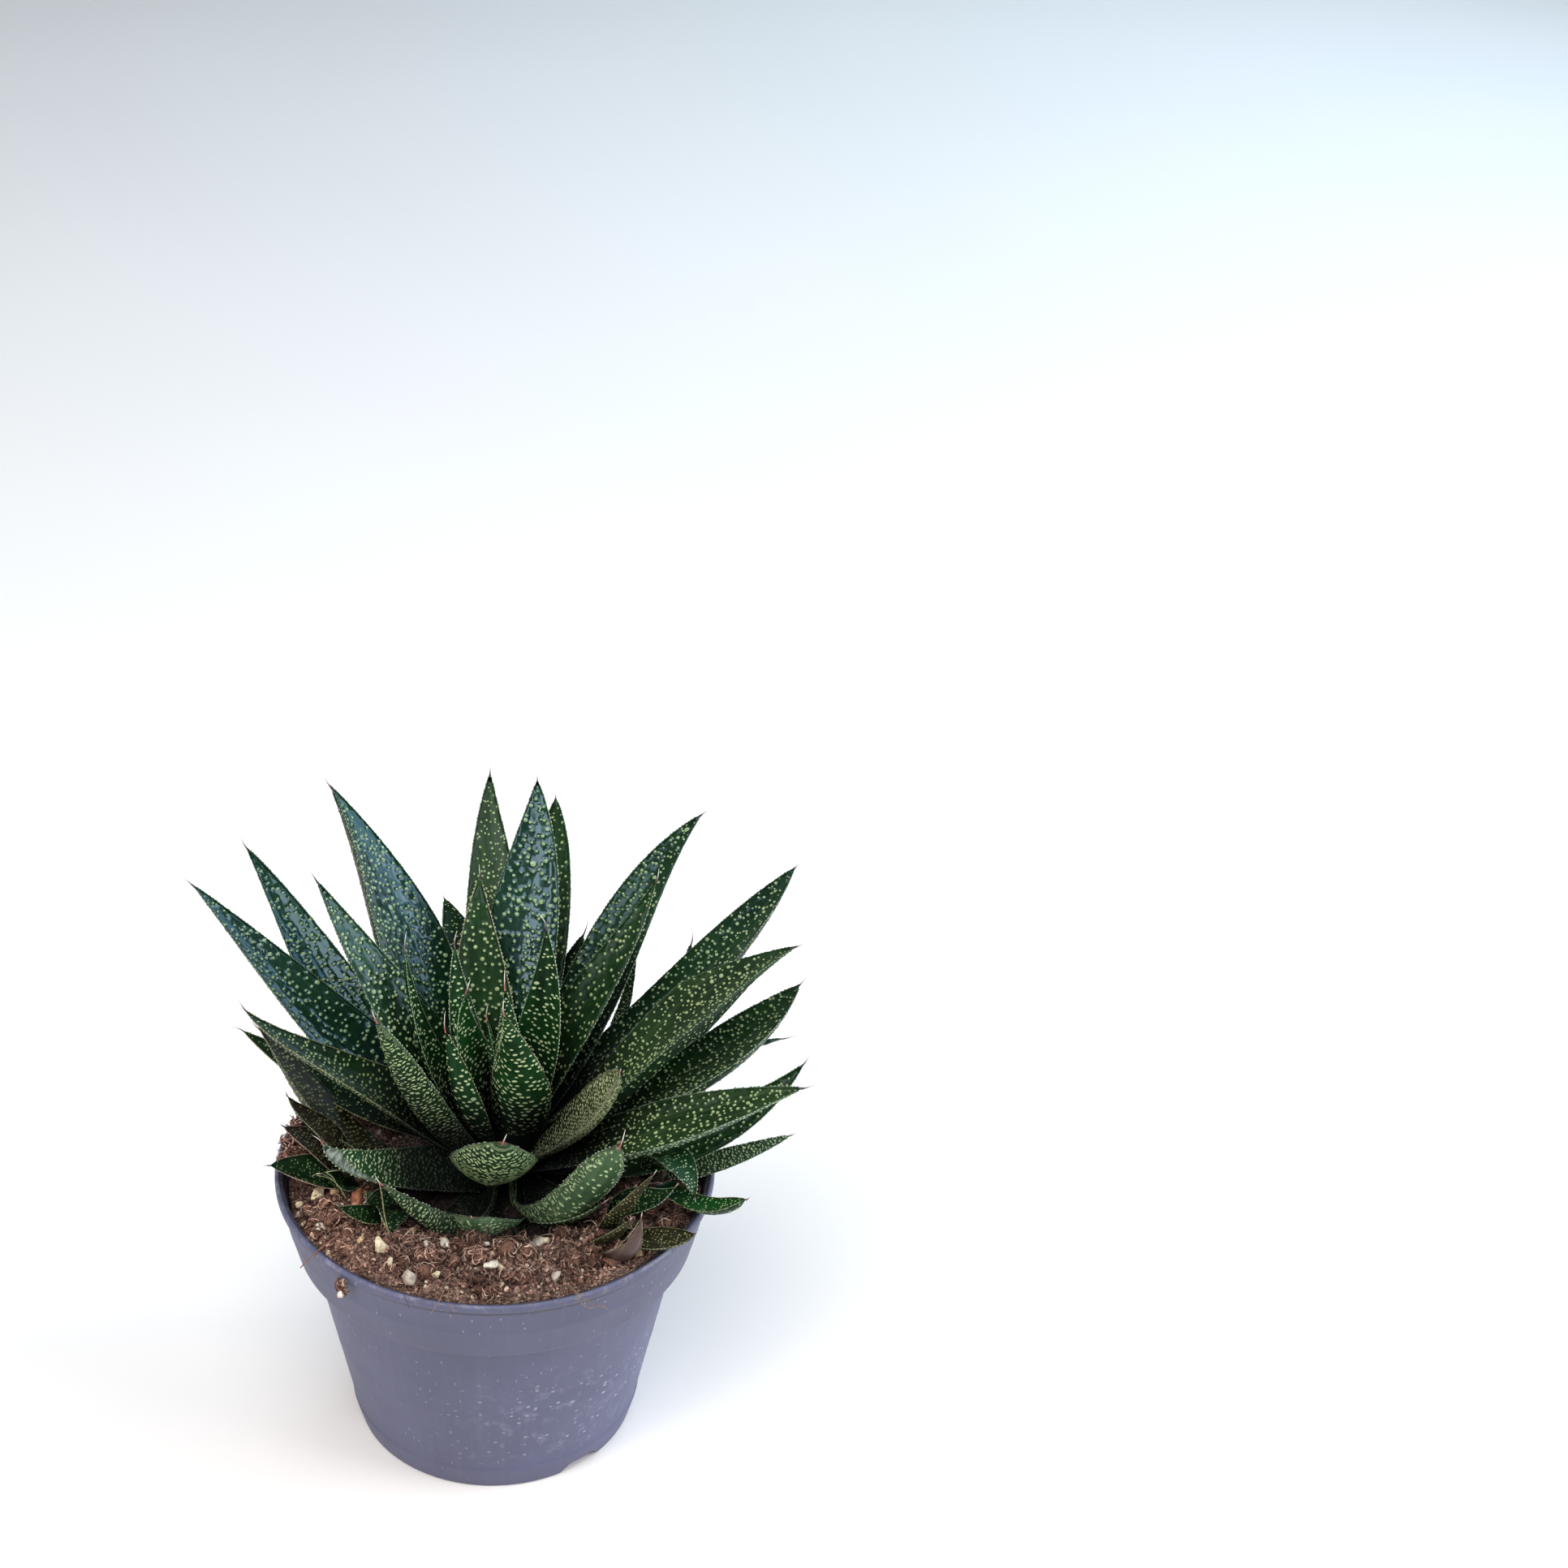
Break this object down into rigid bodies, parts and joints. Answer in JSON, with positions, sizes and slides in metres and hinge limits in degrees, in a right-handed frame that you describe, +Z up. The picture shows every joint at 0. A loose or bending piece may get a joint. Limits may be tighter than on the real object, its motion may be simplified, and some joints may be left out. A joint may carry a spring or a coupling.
{
  "type": "potted gasteria",
  "caption": "Clump of thick pointed succulent leaves with raised pale spots and small offsets, growing in loose fibrous soil in a round banded nursery pot.",
  "frame": {"origin": "middle of the pot's underside, on the flat centre disc that rests on the table", "axes": "+Z up along the pot's axis, +Y towards the back of the plant, away from the picture's camera, +X to the right as the picture sees it"},
  "size_m": [0.1719, 0.1406, 0.1791],
  "materials": {
    "pot": "thin moulded polypropylene, slate violet-grey, fine satin grain with pale scuffs and dust",
    "soil": "loose pinkish brown coir and peat fibre with dark gaps and pale pumice grains, fully matt",
    "stem": "pale woody stem, runners and roots, matt",
    "leaf": "waxy leathery dark green skin, semi-gloss, with raised cream-green spots, fine ridges and pale toothed margins",
    "offset_leaf": "leathery olive to maroon-brown skin, semi-gloss, with small pale spots and tan margins"
  },
  "bodies": {
    "root": {"pot": "pot", "soil": "soil", "stem": "stem", "leaf_01": "leaf", "leaf_02": "leaf", "leaf_03": "leaf", "leaf_04": "leaf", "leaf_05": "leaf", "leaf_06": "leaf", "leaf_07": "leaf", "leaf_08": "leaf", "leaf_09": "leaf", "leaf_10": "leaf", "leaf_11": "leaf", "leaf_12": "leaf", "leaf_13": "leaf", "leaf_14": "leaf", "leaf_15": "leaf", "leaf_16": "leaf", "leaf_17": "leaf", "leaf_18": "leaf", "leaf_19": "leaf", "leaf_20": "leaf", "leaf_21": "leaf", "leaf_22": "leaf", "leaf_23": "leaf", "leaf_24": "leaf", "leaf_25": "leaf", "leaf_26": "leaf", "leaf_27": "leaf", "leaf_28": "leaf", "leaf_29": "leaf", "leaf_30": "leaf", "leaf_31": "leaf", "leaf_32": "leaf", "leaf_33": "leaf", "leaf_34": "leaf", "leaf_35": "leaf", "leaf_36": "leaf", "leaf_37": "leaf", "leaf_38": "leaf", "leaf_39": "leaf", "leaf_40": "leaf", "leaf_41": "leaf", "left_offset_leaf_1": "offset_leaf", "left_offset_leaf_2": "offset_leaf", "left_offset_leaf_3": "offset_leaf", "left_offset_leaf_4": "offset_leaf", "front_offset_leaf_1": "offset_leaf", "front_offset_leaf_2": "offset_leaf", "front_offset_leaf_3": "offset_leaf", "right_offset_leaf_1": "offset_leaf", "right_offset_leaf_2": "offset_leaf", "right_offset_leaf_3": "offset_leaf", "right_offset_leaf_4": "offset_leaf", "right_offset_leaf_5": "offset_leaf", "far_right_offset_leaf_1": "offset_leaf", "far_right_offset_leaf_2": "offset_leaf", "far_right_offset_leaf_3": "offset_leaf"}
  },
  "joints": []
}
